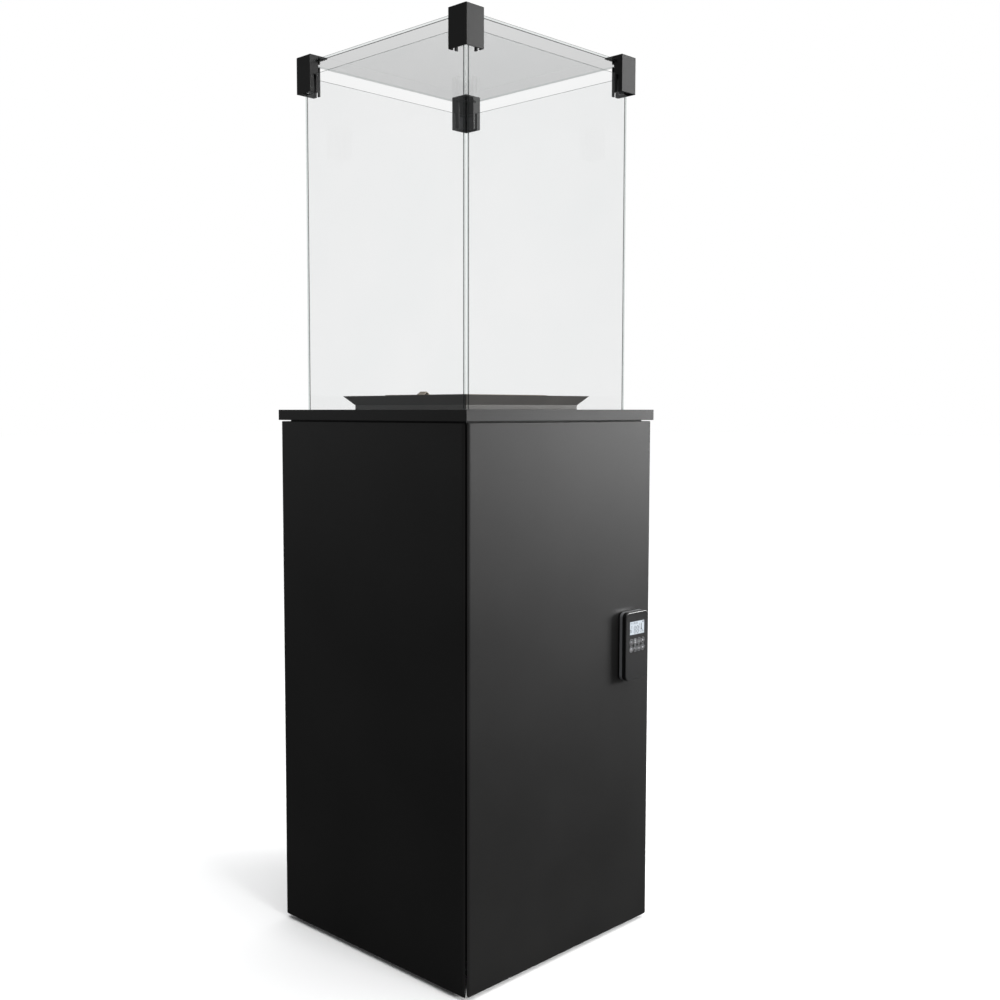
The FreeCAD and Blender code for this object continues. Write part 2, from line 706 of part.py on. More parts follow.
def cylinder_shell():
    """Welded steel gas bottle with a threaded neck and a foot ring."""
    neck = rod(20, (0, 0, CYLINDER_TOP - 5), (0, 0, CYLINDER_TOP + 10))
    foot_start, foot_end = (0, 0, FLOOR_Z + FRAME_SHEET), (0, 0, CYLINDER_BOTTOM + 40)
    foot = pipe(FOOT_RING_RADIUS, FOOT_RING_RADIUS - 3, foot_start, foot_end)
    thread = rod(13, (0, 0, CYLINDER_TOP - 20), (0, 0, CYLINDER_TOP + 20))
    return cut(fuse(bottle(), neck, foot), bottle(CYLINDER_WALL), thread)


def cylinder_collar():
    """Guard round the valve with a wide mouth for the regulator and two hand holes."""
    guard = pipe(COLLAR_RADIUS, COLLAR_RADIUS - 3, (0, 0, CYLINDER_TOP - 70), (0, 0, COLLAR_TOP))
    guard = guard.cut(bottle())
    mouth = box((-150, -48, CYLINDER_TOP - 2), (0, 48, COLLAR_TOP + 1))
    grips = box((-40, -150, COLLAR_TOP - 60), (40, 150, COLLAR_TOP - 25))
    grips = rounded(grips, 12, lambda e: abs(e.BoundBox.YLength) > 200)
    return cut(guard, mouth, grips)


def cylinder_valve():
    """Brass valve: neck thread, body, side outlet and spindle."""
    top = OUTLET_Z + 17
    neck = rod(13, (0, 0, CYLINDER_TOP - 8), (0, 0, CYLINDER_TOP + 23))
    body = eased(box((-14, -14, CYLINDER_TOP + 22), (14, 14, top)), 1.5)
    outlet = rod(11, (-13, 0, OUTLET_Z), (-42, 0, OUTLET_Z))
    gland = hexagon(12, (0, 0, top), (0, 0, top + 10))
    spindle = rod(3.95, (0, 0, top), (0, 0, top + 34))
    return fuse(neck, body, outlet, gland, spindle)


def valve_handwheel():
    """Ribbed handwheel on the spindle."""
    z = OUTLET_Z + 31
    wheel = rounded(rod(29, (0, 0, z), (0, 0, z + 15)), 3, lambda e: e.BoundBox.ZLength < 1e-6)
    grooves = []
    for i in range(12):
        a = math.radians(30 * i)
        x, y = 31 * math.cos(a), 31 * math.sin(a)
        grooves.append(rod(4.5, (x, y, z - 1), (x, y, z + 16)))
    return cut(wheel, *grooves, rod(4.05, (0, 0, z - 1), (0, 0, z + 16)))


def regulator():
    """Low-pressure regulator: die-cast disc, bonnet, inlet tail and an upturned outlet."""
    x, y, z = REGULATOR
    disc = rounded(rod(33, (x, y, z), (x, y, z + 26)), 3, lambda e: e.BoundBox.ZLength < 1e-6)
    bonnet = rounded(rod(23, (x, y, z + 25), (x, y, z + 38)), 4, lambda e: e.BoundBox.ZMin > z + 37)
    tail = rod(11, (-42, 0, OUTLET_Z), (x, 0, OUTLET_Z))
    boss = rod(9, (SPIGOT_X, 0, z + 2), (SPIGOT_X, 0, z + 32))
    spigot = rod(HOSE_BORE, (SPIGOT_X, 0, z + 30), (SPIGOT_X, 0, 600))
    bridge = box((SPIGOT_X, -7, z + 5), (x, 7, z + 21))
    return fuse(disc, bonnet, tail, boss, bridge, spigot)


def regulator_nut():
    """Union nut that draws the regulator on to the bottle valve."""
    nut = hexagon(17, (-57, 0, OUTLET_Z), (-33, 0, OUTLET_Z))
    return nut.cut(rod(11, (-60, 0, OUTLET_Z), (-30, 0, OUTLET_Z)))


def hose_end_x():
    return VALVE.x - 26


def gas_hose():
    """Rubber hose from the regulator up, forward and across to the control valve."""
    y, z = VALVE.y + VALVE_SIZE.y / 2, KNOB_Z - 5
    points = [(SPIGOT_X, 0, 600), (SPIGOT_X, 0, z), (SPIGOT_X, y, z), (hose_end_x(), y, z)]
    return bent_tube(HOSE_RADIUS, points, [54.0, 52.0])


def hose_fittings():
    """Crimped sleeve over each end of the hose."""
    y, z = VALVE.y + VALVE_SIZE.y / 2, KNOB_Z - 5
    end = hose_end_x()
    low = pipe(8.5, HOSE_RADIUS, (SPIGOT_X, 0, 600), (SPIGOT_X, 0, 622))
    low = low.fuse(pipe(8.5, HOSE_BORE, (SPIGOT_X, 0, 592), (SPIGOT_X, 0, 600)))
    high = pipe(8.5, HOSE_RADIUS, (end - 22, y, z), (end, y, z))
    high = high.fuse(pipe(8.5, HOSE_BORE, (end, y, z), (end + 8, y, z)))
    return [low.removeSplitter(), high.removeSplitter()]


def gas_valve():
    """Die-cast control valve: body, solenoid head, spindles, hose spigot and outlets."""
    x, y, z = VALVE
    w, d, h = VALVE_SIZE
    body = rounded(box((x, y, z), (x + w, y + d, z + h)), 5, upright)
    head = rod(16, (x + 25, y + d / 2, z + h), (x + 25, y + d / 2, z + h + 22))
    spindles = [rod(3, (kx, y - 16, KNOB_Z), (kx, y + 1, KNOB_Z)) for kx in (MANUAL_KNOB_X, FLAME_KNOB_X)]
    inlet = rod(10, (x - 8, y + d / 2, KNOB_Z - 5), (x + 1, y + d / 2, KNOB_Z - 5))
    spigot = rod(HOSE_BORE, (hose_end_x(), y + d / 2, KNOB_Z - 5), (x, y + d / 2, KNOB_Z - 5))
    outlet = hexagon(9, (x + 20, y + d, 740), (x + 20, y + d + 8, 740))
    pilot = hexagon(6, (x + 70, y + 40, z + h), (x + 70, y + 40, z + h + 8))
    return fuse(body, head, *spindles, inlet, spigot, outlet, pilot)


def valve_bracket():
    """Hanging plate with a top flange; the valve is behind it and the controls in front."""
    y = BRACKET_PLATE_Y
    plate = box((-140, y, 680), (125, y + 2, TOP_FRAME_LEDGE))
    flange = box((-140, -POST_FACE + 1, TOP_FRAME_LEDGE - 2), (125, y + 2, TOP_FRAME_LEDGE))
    holes = [rod(6, (kx, y - 5, KNOB_Z), (kx, y + 5, KNOB_Z)) for kx in (MANUAL_KNOB_X, FLAME_KNOB_X)]
    return cut(fuse(plate, flange), *holes)


def knob(x, radius):
    """Fluted knob with a pointer ridge, bored for its spindle."""
    y0, y1 = BRACKET_PLATE_Y - 0.8, BRACKET_PLATE_Y - 17
    body = rod(radius, (x, y0, KNOB_Z), (x, y1, KNOB_Z))
    body = rounded(body, 2, lambda e: abs(e.BoundBox.YMin - y1) < 1e-3 and e.BoundBox.YLength < 1e-3)
    flutes = []
    for i in range(14):
        a = math.radians(360 / 14 * (i + 0.5))
        fx, fz = x + (radius + 1) * math.cos(a), KNOB_Z + (radius + 1) * math.sin(a)
        flutes.append(rod(2, (fx, y1 - 1, fz), (fx, y0 - 4, fz)))
    ridge = box((x - 1.5, y1 - 1.2, KNOB_Z + 2), (x + 1.5, y1 + 1, KNOB_Z + radius - 2.5))
    bore = rod(3.06, (x, y0 + 1, KNOB_Z), (x, BRACKET_PLATE_Y - 14.6, KNOB_Z))
    return cut(fuse(cut(body, *flutes), ridge), bore)


def supply_tube():
    """Metal tube from the control valve's outlet to the injector."""
    x, y = VALVE.x + 20, VALVE.y + VALVE_SIZE.y + 8
    points = [(x, y, 740), (x, -60, 740), (0, 0, 740), (0, 0, MIXER_BOTTOM - 12)]
    return bent_tube(4, points, [40.0, 21.0])


def pilot_tube():
    """Thin tube from the control valve up through the housing to the pilot."""
    x, y, z = VALVE.x + 70, VALVE.y + 40, VALVE.z + VALVE_SIZE.z + 8
    px, py, level = PILOT.x, PILOT.y, 815
    points = [(x, y, z), (x, y, level), (px, y, level), (px, py, level), (px, py, PILOT.z + 8)]
    return bent_tube(2, points, [20.0, 30.0, 30.0])


def receiver_box():
    """Plastic shell: battery bay open to the front below, switch panel above."""
    x, y, z = RECEIVER
    w, d, h = RECEIVER_SIZE
    shell = rounded(box((x, y, z), (x + w, y + d, z + h)), 3, lambda e: abs(e.BoundBox.YLength - d) < 1e-6)
    bay = box((x + 2, y - 1, z + 2), (x + w - 2, y + d - 2, z + RECEIVER_SHELF))
    room = box((x + 2, y + 2, z + RECEIVER_SHELF + 2), (x + w - 2, y + d - 2, z + h - 2))
    window = box((ROCKER.x - 10.3, y - 1, ROCKER.z - 8), (ROCKER.x + 10.3, y + 3, ROCKER.z + 8))
    axle = []
    for side in (-1, 1):
        near, far = ROCKER.x + side * 10, ROCKER.x + side * 12
        axle.append(rod(1.06, (near, ROCKER.y + 1, ROCKER.z), (far, ROCKER.y + 1, ROCKER.z)))
    rebate = box((x + 2, y - 1, z - 1), (x + w - 2, y + LID_SHEET, z + RECEIVER_SHELF))
    return cut(shell, bay, room, window, rebate, *axle)


def receiver_lid():
    """Lid of the battery bay; it slides down, and has a ribbed thumb grip."""
    x, y, z = RECEIVER
    w = RECEIVER_SIZE.x
    lid = box((x + 2.3, y, z), (x + w - 2.3, y + LID_SHEET - 0.3, z + RECEIVER_SHELF - 0.3))
    ribs = [box((x + 33, y - 0.6, z + 40 + 3 * i), (x + w - 33, y, z + 41.4 + 3 * i)) for i in range(5)]
    return fuse(lid, *ribs)


def battery(radius, start, length, axis=Z):
    """Round cell with a small contact cap."""
    start = V(*start)
    can = Part.makeCylinder(radius, length - 1.5, start, axis)
    cap = Part.makeCylinder(radius * 0.38, 1.5, start + axis * (length - 1.5), axis)
    return fuse(can, cap)


def receiver_batteries():
    x, y, z = RECEIVER
    return [battery(7.1, (x + 16 + 19.3 * i, y + 10, z + 4), 50.5) for i in range(4)]


def rocker_switch():
    """Rocker on two stub axles, at rest with its lower half pressed in."""
    x, y, z = ROCKER
    outline = [(x - 9.7, y - 2.5, z - 6.7), (x - 9.7, y - 1.0, z), (x - 9.7, y - 2.5, z + 6.7),
               (x - 9.7, y + 2.2, z + 6.2), (x - 9.7, y + 3.6, z), (x - 9.7, y + 2.2, z - 6.2)]
    rocker = prism(outline, X * 19.4)
    rocker = fuse(rocker, rod(1, (x - 11.7, y + 1, z), (x + 11.7, y + 1, z)))
    rocker.rotate(V(x, y + 1, z), X, ROCKER_TILT)
    return rocker


# ---------------------------------------------------------------- remote control


def remote_block(inset=0.0):
    """The remote control's outer form, or a smaller copy of it."""
    w, h = REMOTE_WIDTH / 2 - inset, REMOTE_HEIGHT / 2 - inset
    back, front = REMOTE_BACK + inset, REMOTE_FRONT - inset
    block = box((back, REMOTE_Y - w, REMOTE_Z - h), (front, REMOTE_Y + w, REMOTE_Z + h))
    block = rounded(block, REMOTE_RADIUS - inset, lambda e: e.BoundBox.XLength > 5)
    if not inset:
        block = rounded(block, REMOTE_EDGE, lambda e: e.BoundBox.XLength < 1e-6)
    return block


def remote_half(low, high):
    limit = box((low, REMOTE_Y - 50, REMOTE_Z - 80), (high, REMOTE_Y + 50, REMOTE_Z + 80))
    return remote_block().cut(remote_block(REMOTE_WALL)).common(limit)


def cover_region(play=0.0):
    w = COVER_WIDTH / 2 + play
    bottom = REMOTE_Z - REMOTE_HEIGHT / 2
    depth, top = REMOTE_BACK + COVER_SHEET + play, bottom + COVER_HEIGHT + play
    return box((REMOTE_BACK - 1, REMOTE_Y - w, bottom - 1), (depth, REMOTE_Y + w, top))


def display_region(grow=0.0):
    w, h = DISPLAY_SIZE[0] / 2 + grow, DISPLAY_SIZE[1] / 2 + grow
    z = REMOTE_Z + REMOTE_HEIGHT / 2 - DISPLAY_DROP
    return box((REMOTE_FRONT - REMOTE_WALL, REMOTE_Y - w, z - h), (REMOTE_FRONT - 0.25, REMOTE_Y + w, z + h))


def remote_front():
    """Gloss front shell with a window for the display."""
    shell = remote_half(REMOTE_BACK + REMOTE_SPLIT, REMOTE_FRONT + 1)
    window = display_region()
    opening = box((window.BoundBox.XMin - 1, window.BoundBox.YMin, window.BoundBox.ZMin),
                  (REMOTE_FRONT + 1, window.BoundBox.YMax, window.BoundBox.ZMax))
    return shell.cut(opening)


def remote_back():
    """Satin back shell with an opening for the battery cover."""
    return remote_half(REMOTE_BACK - 1, REMOTE_BACK + REMOTE_SPLIT).cut(cover_region(COVER_PLAY))


def remote_battery_cover():
    return remote_block().common(cover_region())


def remote_board():
    """Circuit board behind the display and the touch keys."""
    back = REMOTE_FRONT - 5.6
    return box((back, REMOTE_Y - 25, REMOTE_Z - 2), (back + 1.6, REMOTE_Y + 25, REMOTE_Z + 53))


def remote_batteries():
    bottom = REMOTE_Z - REMOTE_HEIGHT / 2 + 5
    return [battery(5.1, (REMOTE_BACK + 7.2, REMOTE_Y + s * 5.6, bottom), 44.5) for s in (-1, 1)]


def remote_holder():
    """Flat magnetic wall plate behind the remote control."""
    plate = box((HALF, REMOTE_Y - 20, REMOTE_Z - 32), (HALF + HOLDER_THICKNESS, REMOTE_Y + 20, REMOTE_Z + 32))
    return rounded(plate, 5, lambda e: e.BoundBox.XLength > 2)


def main():
    os.makedirs("parts", exist_ok=True)
    save("base_plate", base_plate())
    save("rubber_feet", *rubber_feet())
    save("corner_posts", *[turned(corner_post(), q) for q in range(4)])
    save("top_frame", top_frame())
    save("right_panel", fixed_panel())
    save("rear_panel", rear_panel())
    save("left_panel", left_panel())
    save("door_panel", door_panel())
    save("hinge_brackets", *hinge_brackets())
    save("hinge_pins", *hinge_pins())
    save("door_magnets", *door_magnets())
    save("door_strikes", *door_strikes())
    save("panel_screws", *panel_screws())
    save("top_plate", top_plate())
    save("top_plate_screws", *top_plate_screws())

    save("glass_gasket", glass_gasket())
    for quarter, side in enumerate(("front", "right", "rear", "left")):
        save(f"glass_{side}", turned(pane(), quarter))
    save("glass_roof", roof_glass())
    for quarter, corner in enumerate(("front_left", "front_right", "rear_right", "rear_left")):
        save(f"corner_bracket_{corner}", turned(corner_bracket(), quarter))
    save("bracket_pads", *bracket_pads())

    save("burner_tray", burner_tray())
    save("burner_box", burner_box())
    save("burner_plate", burner_plate())
    save("burner_housing", burner_housing())
    save("mixer_tube", mixer_tube())
    save("injector", injector())
    save("pilot_hood", pilot_hood())
    save("spark_electrode", spark_electrode())
    save("thermocouple", pilot_probe(-1, 1.6, 27))

    save("cylinder_shell", cylinder_shell())
    save("cylinder_collar", cylinder_collar())
    save("cylinder_valve", cylinder_valve())
    save("valve_handwheel", valve_handwheel())
    save("regulator", regulator())
    save("regulator_nut", regulator_nut())
    save("gas_hose", gas_hose())
    save("hose_fittings", *hose_fittings())
    save("valve_bracket", valve_bracket())
    save("gas_valve", gas_valve())
    save("manual_knob", knob(MANUAL_KNOB_X, 15))
    save("flame_knob", knob(FLAME_KNOB_X, 18))
    save("supply_tube", supply_tube())
    save("pilot_tube", pilot_tube())
    save("receiver_box", receiver_box())
    save("receiver_lid", receiver_lid())
    save("receiver_batteries", *receiver_batteries())
    save("rocker_switch", rocker_switch())

    save("remote_front", remote_front())
    save("remote_back", remote_back())
    save("remote_display", display_region())
    save("remote_board", remote_board())
    save("remote_battery_cover", remote_battery_cover())
    save("remote_batteries", *remote_batteries())
    save("remote_holder", remote_holder())


main()
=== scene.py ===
import json
import math

import bmesh
import bpy
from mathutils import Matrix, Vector


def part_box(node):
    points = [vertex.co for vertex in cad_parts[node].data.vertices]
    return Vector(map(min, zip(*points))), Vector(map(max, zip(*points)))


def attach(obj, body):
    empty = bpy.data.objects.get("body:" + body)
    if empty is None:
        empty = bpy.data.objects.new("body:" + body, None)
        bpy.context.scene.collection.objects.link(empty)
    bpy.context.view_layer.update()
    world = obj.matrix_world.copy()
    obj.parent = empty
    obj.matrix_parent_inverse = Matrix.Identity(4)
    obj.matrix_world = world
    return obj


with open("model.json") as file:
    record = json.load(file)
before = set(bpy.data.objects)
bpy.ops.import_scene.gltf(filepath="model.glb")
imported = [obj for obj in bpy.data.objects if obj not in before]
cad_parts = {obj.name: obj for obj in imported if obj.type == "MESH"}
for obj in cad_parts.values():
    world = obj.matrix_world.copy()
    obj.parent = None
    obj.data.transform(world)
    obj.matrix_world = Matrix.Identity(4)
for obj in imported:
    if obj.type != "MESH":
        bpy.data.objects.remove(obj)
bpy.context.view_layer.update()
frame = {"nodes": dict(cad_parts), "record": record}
NODES = frame["nodes"]
MM = 0.001

# ------------------------------------------------------------------ node helpers


class Look:
    """A material with a Principled shader and a few short ways to add nodes to it."""

    def __init__(self, name):
        self.material = bpy.data.materials.new(name)
        self.material.use_nodes = True
        self.tree = self.material.node_tree
        self.shader = self.tree.nodes["Principled BSDF"]
        self.output = self.tree.nodes["Material Output"]
        self.place = self.add("ShaderNodeTexCoord").outputs["Object"]

    def add(self, kind, **values):
        node = self.tree.nodes.new(kind)
        for key, value in values.items():
            setattr(node, key, value)
        return node

    def join(self, source, target):
        self.tree.links.new(source, target)

    def set(self, **values):
        """Constants on the shader's own sockets, by name with _ for a space."""
        for key, value in values.items():
            self.shader.inputs[key.replace("_", " ")].default_value = value
        return self

    def stretched(self, scale):
        """Object coordinates with a different scale on each axis."""
        node = self.add("ShaderNodeMapping")
        node.inputs["Scale"].default_value = scale
        self.join(self.place, node.inputs["Vector"])
        return node.outputs["Vector"]

    def noise(self, scale, detail=2.0, place=None):
        node = self.add("ShaderNodeTexNoise")
        node.inputs["Scale"].default_value = scale
        node.inputs["Detail"].default_value = detail
        self.join(place or self.place, node.inputs["Vector"])
        return node.outputs["Fac"]

    def cells(self, scale):
        node = self.add("ShaderNodeTexVoronoi", feature="F1")
        node.inputs["Scale"].default_value = scale
        self.join(self.place, node.inputs["Vector"])
        return node

    def spread(self, source, low, high, to_low=0.0, to_high=1.0):
        node = self.add("ShaderNodeMapRange")
        for key, value in (("From Min", low), ("From Max", high), ("To Min", to_low), ("To Max", to_high)):
            node.inputs[key].default_value = value
        self.join(source, node.inputs["Value"])
        return node.outputs["Result"]

    def ramp(self, source, stops):
        """Colour ramp from a list of (place, colour)."""
        node = self.add("ShaderNodeValToRGB")
        marks = node.color_ramp.elements
        while len(marks) < len(stops):
            marks.new(0.5)
        for mark, (at, colour) in zip(marks, stops):
            mark.position = at
            mark.color = (*colour, 1.0)
        self.join(source, node.inputs["Fac"])
        return node.outputs["Color"]

    def math(self, operation, first, second=None):
        """One calculation on sockets or plain numbers."""
        node = self.add("ShaderNodeMath", operation=operation)
        for slot, value in zip(node.inputs, (first, second)):
            if isinstance(value, (int, float)):
                slot.default_value = value
            elif value is not None:
                self.join(value, slot)
        return node.outputs["Value"]

    def mixed(self, share, first, second):
        """Two shaders mixed by a socket."""
        node = self.add("ShaderNodeMixShader")
        self.join(share, node.inputs["Fac"])
        self.join(first, node.inputs[1])
        self.join(second, node.inputs[2])
        return node.outputs["Shader"]

    def colour(self, source):
        self.join(source, self.shader.inputs["Base Color"])

    def rough(self, source):
        self.join(source, self.shader.inputs["Roughness"])

    def bump(self, *layers):
        """Stacked bumps, each (height source, distance in metres)."""
        normal = None
        for height, distance in layers:
            node = self.add("ShaderNodeBump")
            node.inputs["Distance"].default_value = distance
            self.join(height, node.inputs["Height"])
            if normal:
                self.join(normal, node.inputs["Normal"])
            normal = node.outputs["Normal"]
        self.join(normal, self.shader.inputs["Normal"])


def shades(colour, amount):
    """A darker and a lighter copy of a colour."""
    return tuple(c * (1 - amount) for c in colour), tuple(min(1.0, c * (1 + amount)) for c in colour)


# ------------------------------------------------------------------ materials


def powder_black():
    """Fine-textured powder coat: tight sparkle grain over a faint orange peel."""
    look = Look("powder_black").set(Specular_IOR_Level=0.25)
    grain = look.noise(2600, 1.0)
    peel = look.noise(420, 2.0)
    cloud = look.noise(5, 2.0)
    dark, light = shades((0.0062, 0.0061, 0.0060), 0.25)
    look.colour(look.ramp(look.spread(cloud, 0.3, 0.7), [(0, dark), (1, light)]))
    look.rough(look.spread(grain, 0.3, 0.7, 0.42, 0.56))
    look.bump((peel, 0.00006), (grain, 0.00005))
    return look.material


def enamel_black():
    """Heat-resistant enamel, browned a little towards the flame."""
    look = Look("enamel_black").set(Specular_IOR_Level=0.35)
    grain = look.noise(1900, 1.0)
    stain = look.noise(16, 4.0)
    look.colour(look.ramp(stain, [(0.35, (0.048, 0.045, 0.042)), (0.75, (0.068, 0.063, 0.058))]))
    look.rough(look.spread(stain, 0.3, 0.8, 0.44, 0.6))
    look.bump((grain, 0.00005))
    return look.material


def galvanised():
    """Zinc-coated sheet with spangle."""
    look = Look("galvanised").set(Metallic=0.9)
    spangle = look.cells(95)
    tone = look.spread(spangle.outputs["Color"], 0.0, 1.0)
    look.colour(look.ramp(tone, [(0, (0.36, 0.37, 0.385)), (1, (0.56, 0.57, 0.585))]))
    look.rough(look.spread(tone, 0, 1, 0.34, 0.52))
    look.bump((look.noise(700), 0.00003))
    return look.material


def stainless():
    """Brushed stainless steel, dulled by heat, with a straw and blue tint in patches."""
    look = Look("stainless").set(Metallic=1.0)
    brushed = look.noise(60, 3.0, look.stretched((6, 60, 60)))
    heat = look.noise(14, 2.0)
    tint = [(0.3, (0.30, 0.29, 0.28)), (0.55, (0.30, 0.26, 0.21)), (0.8, (0.22, 0.20, 0.23))]
    look.colour(look.ramp(heat, tint))
    look.rough(look.spread(brushed, 0.3, 0.7, 0.64, 0.78))
    look.bump((brushed, 0.00003))
    return look.material


def brass():
    """Machined brass with turning marks and light tarnish."""
    look = Look("brass").set(Metallic=1.0)
    tarnish = look.noise(110, 3.0)
    turning = look.noise(90, 2.0, look.stretched((1, 1, 22)))
    look.colour(look.ramp(tarnish, [(0.3, (0.50, 0.33, 0.13)), (0.7, (0.70, 0.51, 0.23))]))
    look.rough(look.spread(tarnish, 0.3, 0.7, 0.24, 0.42))
    look.bump((turning, 0.00003))
    return look.material


def die_cast():
    """Cast aluminium, sand-blasted, with small pits."""
    look = Look("die_cast").set(Metallic=1.0)
    sand = look.noise(1300, 2.0)
    cast = look.noise(60, 3.0)
    look.colour(look.ramp(cast, [(0.3, (0.50, 0.50, 0.50)), (0.7, (0.63, 0.63, 0.64))]))
    look.rough(look.spread(cast, 0.3, 0.7, 0.40, 0.56))
    look.bump((sand, 0.00008))
    return look.material


def cylinder_paint():
    """Sprayed gloss paint with orange peel, chipped to grey primer at the worn spots."""
    look = Look("cylinder_paint").set(Coat_Weight=0.35, Coat_Roughness=0.18)
    chips = look.spread(look.noise(48, 6.0), 0.70, 0.72)
    fade = look.noise(4, 2.0)
    paint = look.ramp(fade, [(0.3, (0.155, 0.175, 0.19)), (0.7, (0.195, 0.215, 0.23))])
    mix = look.add("ShaderNodeMix", data_type="RGBA")
    look.join(chips, mix.inputs["Factor"])
    look.join(paint, mix.inputs["A"])
    mix.inputs["B"].default_value = (0.075, 0.072, 0.07, 1)
    look.colour(mix.outputs["Result"])
    look.rough(look.spread(chips, 0, 1, 0.34, 0.7))
    look.bump((look.noise(260, 2.0), 0.0002))
    return look.material


def black_rubber():
    look = Look("black_rubber").set(Specular_IOR_Level=0.3)
    dust = look.noise(120, 3.0)
    look.colour(look.ramp(dust, [(0.35, (0.014, 0.014, 0.014)), (0.75, (0.032, 0.031, 0.030))]))
    look.rough(look.spread(dust, 0.3, 0.7, 0.6, 0.82))
    look.bump((look.noise(1500), 0.00008))
    return look.material


def silicone():
    look = Look("silicone").set(Specular_IOR_Level=0.4)
    haze = look.noise(200, 2.0)
    look.colour(look.ramp(haze, [(0.3, (0.022, 0.022, 0.023)), (0.7, (0.036, 0.036, 0.038))]))
    look.rough(look.spread(haze, 0.3, 0.7, 0.42, 0.58))
    look.bump((haze, 0.00003))
    return look.material


def black_plastic():
    """Moulded plastic with a spark-eroded texture."""
    look = Look("black_plastic").set(Specular_IOR_Level=0.4)
    spark = look.cells(1500).outputs["Distance"]
    tone = look.noise(30, 2.0)
    look.colour(look.ramp(tone, [(0.3, (0.014, 0.014, 0.015)), (0.7, (0.022, 0.022, 0.023))]))
    look.rough(look.spread(spark, 0.0, 0.8, 0.40, 0.58))
    look.bump((spark, 0.00005))
    return look.material


def ceramic_white():
    look = Look("ceramic_white").set(Coat_Weight=0.5, Coat_Roughness=0.08)
    soot = look.noise(160, 3.0)
    look.colour(look.ramp(soot, [(0.4, (0.78, 0.76, 0.71)), (0.75, (0.48, 0.44, 0.38))]))
    look.rough(look.spread(soot, 0.3, 0.7, 0.25, 0.5))
    return look.material


def remote_gloss():
    """Piano-black lacquer: a clear coat over near-black, with very fine swirls."""
    look = Look("remote_gloss").set(Coat_Weight=1.0, Coat_Roughness=0.03, Coat_IOR=1.5)
    swirl = look.noise(900, 2.0)
    look.colour(look.ramp(swirl, [(0.3, (0.0035, 0.0035, 0.0038)), (0.7, (0.0055, 0.0055, 0.006))]))
    look.rough(look.spread(swirl, 0.3, 0.7, 0.10, 0.16))
    return look.material


def remote_silver():
    """Satin silver lacquer with metal flake."""
    look = Look("remote_silver").set(Metallic=0.75)
    flake = look.cells(4200)
    tone = look.spread(flake.outputs["Color"], 0, 1)
    look.colour(look.ramp(tone, [(0, (0.36, 0.37, 0.39)), (1, (0.52, 0.53, 0.55))]))
    look.rough(look.spread(look.noise(300), 0.3, 0.7, 0.30, 0.40))
    return look.material


def lcd():
    """Pale display: faint pixel mesh, and a soft glow of its own that is painted light."""
    # Painted light: a faint emission makes the display brighter than the lamps alone would.
    look = Look("lcd").set(Emission_Color=(0.80, 0.88, 0.95, 1), Emission_Strength=0.16)
    mesh = look.cells(2600)
    look.colour(look.ramp(mesh.outputs["Distance"], [(0.0, (0.27, 0.30, 0.33)), (1.0, (0.33, 0.36, 0.39))]))
    look.rough(look.spread(look.noise(500), 0.3, 0.7, 0.12, 0.2))
    return look.material


def lcd_ink():
    look = Look("lcd_ink").set(Roughness=0.4)
    look.colour(look.ramp(look.noise(1800), [(0.3, (0.010, 0.011, 0.014)), (0.7, (0.020, 0.021, 0.026))]))
    return look.material


def key_print():
    """Pale silver print of the touch keys."""
    look = Look("key_print").set(Metallic=0.2, Roughness=0.35)
    look.colour(look.ramp(look.noise(2200), [(0.3, (0.44, 0.45, 0.47)), (0.7, (0.60, 0.61, 0.63))]))
    return look.material


def circuit_green():
    look = Look("circuit_green").set(Coat_Weight=0.4, Coat_Roughness=0.2)
    tracks = look.add("ShaderNodeTexBrick")
    tracks.inputs["Scale"].default_value = 260
    tracks.inputs["Color1"].default_value = (0.012, 0.10, 0.035, 1)
    tracks.inputs["Color2"].default_value = (0.010, 0.075, 0.03, 1)
    tracks.inputs["Mortar"].default_value = (0.03, 0.20, 0.07, 1)
    look.join(look.place, tracks.inputs["Vector"])
    look.colour(tracks.outputs["Color"])
    look.rough(look.spread(look.noise(400), 0.3, 0.7, 0.3, 0.5))
    return look.material


def cell_wrap():
    look = Look("cell_wrap").set(Coat_Weight=0.6, Coat_Roughness=0.12)
    scuff = look.noise(240, 3.0)
    look.colour(look.ramp(scuff, [(0.3, (0.035, 0.05, 0.09)), (0.7, (0.06, 0.08, 0.13))]))
    look.rough(look.spread(scuff, 0.3, 0.7, 0.25, 0.4))
    return look.material


def magnet():
    look = Look("magnet").set(Metallic=1.0)
    wear = look.noise(180, 3.0)
    look.colour(look.ramp(wear, [(0.3, (0.30, 0.30, 0.31)), (0.7, (0.45, 0.45, 0.46))]))
    look.rough(look.spread(wear, 0.3, 0.7, 0.3, 0.5))
    return look.material


